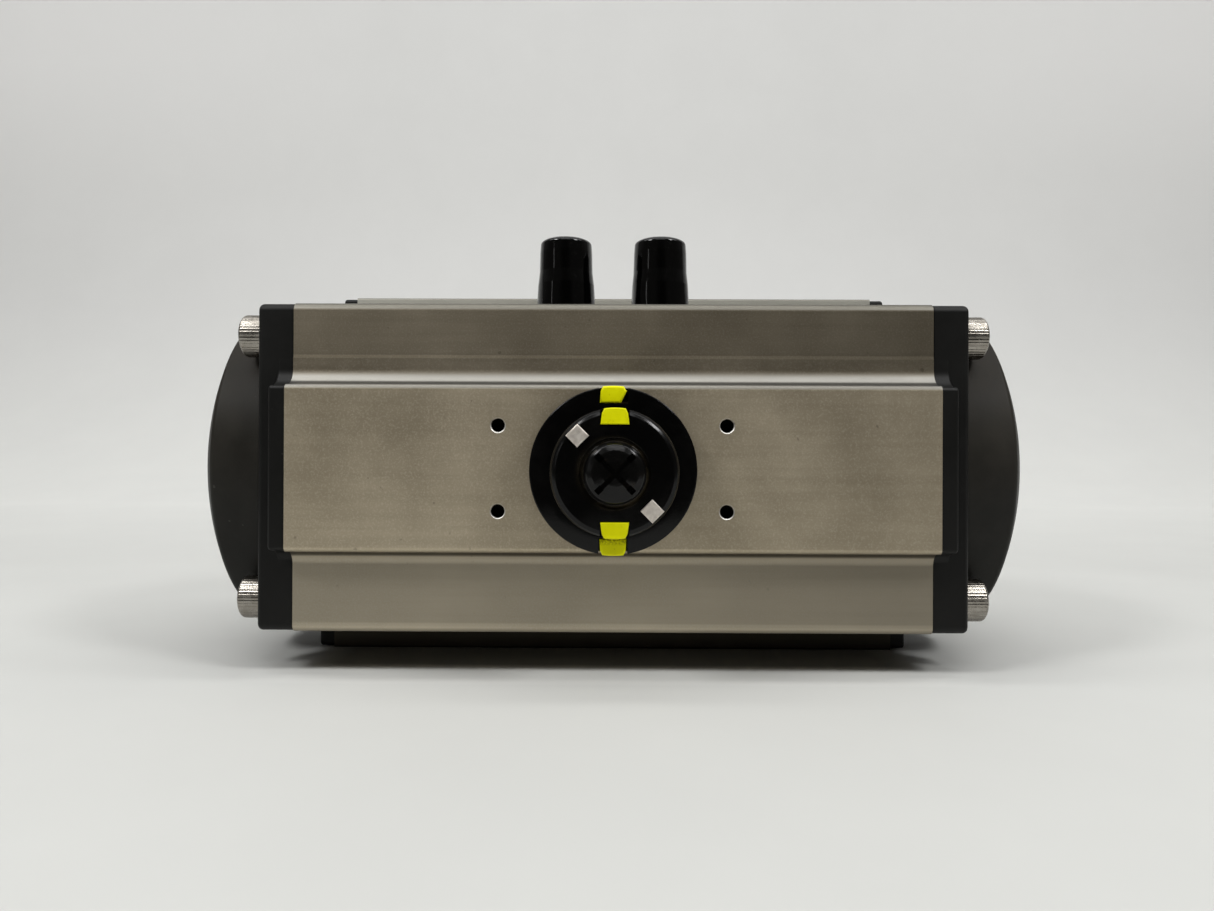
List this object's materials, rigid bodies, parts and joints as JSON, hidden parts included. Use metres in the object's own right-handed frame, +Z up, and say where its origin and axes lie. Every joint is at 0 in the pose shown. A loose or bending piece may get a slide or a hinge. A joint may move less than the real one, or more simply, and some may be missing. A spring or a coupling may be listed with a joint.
{
  "type": "rotary pneumatic actuator",
  "caption": "Quarter-turn rack-and-pinion pneumatic actuator: ribbed aluminium body, domed end caps, round position indicator and capped travel-stop screws.",
  "frame": {"origin": "on the port pad's flat face, directly below the pinion axis and midway between the end caps", "axes": "+X along the pistons, to the right seen from the indicator side; +Y along the pinion from the indicator towards the valve flange; +Z up from the port pad through the travel-stop screws"},
  "size_m": [0.332, 0.186, 0.1644],
  "materials": {
    "anodised_body": "hard-anodised warm grey, satin, finely speckled",
    "cap_paint": "charcoal powder coat, fine texture",
    "stainless_screw": "bright knurled stainless",
    "seal_rubber": "black nitrile, matte",
    "piston_cast": "die-cast, machined teeth",
    "wear_plastic": "ivory bearing plastic",
    "pinion_steel": "nickel-plated steel",
    "snap_ring_steel": "phosphated spring steel",
    "vinyl_cap": "glossy black vinyl",
    "indicator_plastic": "black moulded plastic, semi-gloss",
    "marker_yellow": "bright yellow plastic",
    "target_steel": "bare steel, lightly brushed"
  },
  "bodies": {
    "housing": {"body": "anodised_body", "end_cap_left": "cap_paint", "end_cap_right": "cap_paint", "cap_screw_left_1": "stainless_screw", "cap_screw_left_2": "stainless_screw", "cap_screw_left_3": "stainless_screw", "cap_screw_left_4": "stainless_screw", "cap_screw_right_1": "stainless_screw", "cap_screw_right_2": "stainless_screw", "cap_screw_right_3": "stainless_screw", "cap_screw_right_4": "stainless_screw", "stop_screw_closed": "stainless_screw", "stop_screw_open": "stainless_screw", "stop_nut_closed": "stainless_screw", "stop_nut_open": "stainless_screw", "stop_washer_closed": "stainless_screw", "stop_washer_open": "stainless_screw", "cap_seal_left": "seal_rubber", "cap_seal_right": "seal_rubber", "stop_o_ring_closed": "seal_rubber", "stop_o_ring_open": "seal_rubber", "top_bearing": "wear_plastic", "bottom_bearing": "wear_plastic", "thrust_bearing": "wear_plastic", "stop_cap_closed": "vinyl_cap", "stop_cap_open": "vinyl_cap"},
    "pinion_shaft": {"pinion": "pinion_steel", "stop_cam": "pinion_steel", "snap_ring": "snap_ring_steel", "thrust_washer": "pinion_steel", "indicator_base": "indicator_plastic", "indicator_disc": "indicator_plastic", "indicator_screw": "indicator_plastic", "outer_marker_top": "marker_yellow", "outer_marker_bottom": "marker_yellow", "inner_marker_top": "marker_yellow", "inner_marker_bottom": "marker_yellow", "target_insert_upper": "target_steel", "target_insert_lower": "target_steel", "top_o_ring": "seal_rubber", "bottom_o_ring": "seal_rubber"},
    "left_piston": {"piston_left": "piston_cast", "piston_seal_left": "seal_rubber", "wear_ring_left": "wear_plastic", "rack_guide_left": "wear_plastic"},
    "right_piston": {"piston_right": "piston_cast", "piston_seal_right": "seal_rubber", "wear_ring_right": "wear_plastic", "rack_guide_right": "wear_plastic"}
  },
  "joints": [
    {"name": "pinion_turn", "type": "hinge", "parent": "housing", "child": "pinion_shaft", "pos_m": [0, 0, 0.0751], "axis": [0, -1, 0], "range_deg": [0, 90]},
    {"name": "left_piston_slide", "type": "slide", "parent": "housing", "child": "left_piston", "axis": [-1, 0, 0], "range_m": [0, 0.034]},
    {"name": "right_piston_slide", "type": "slide", "parent": "housing", "child": "right_piston", "axis": [1, 0, 0], "range_m": [0, 0.034]}
  ],
  "couplings": [
    {"joint": "left_piston_slide", "follows": "pinion_turn", "m_per_rad": 0.0216},
    {"joint": "right_piston_slide", "follows": "pinion_turn", "m_per_rad": 0.0216}
  ]
}
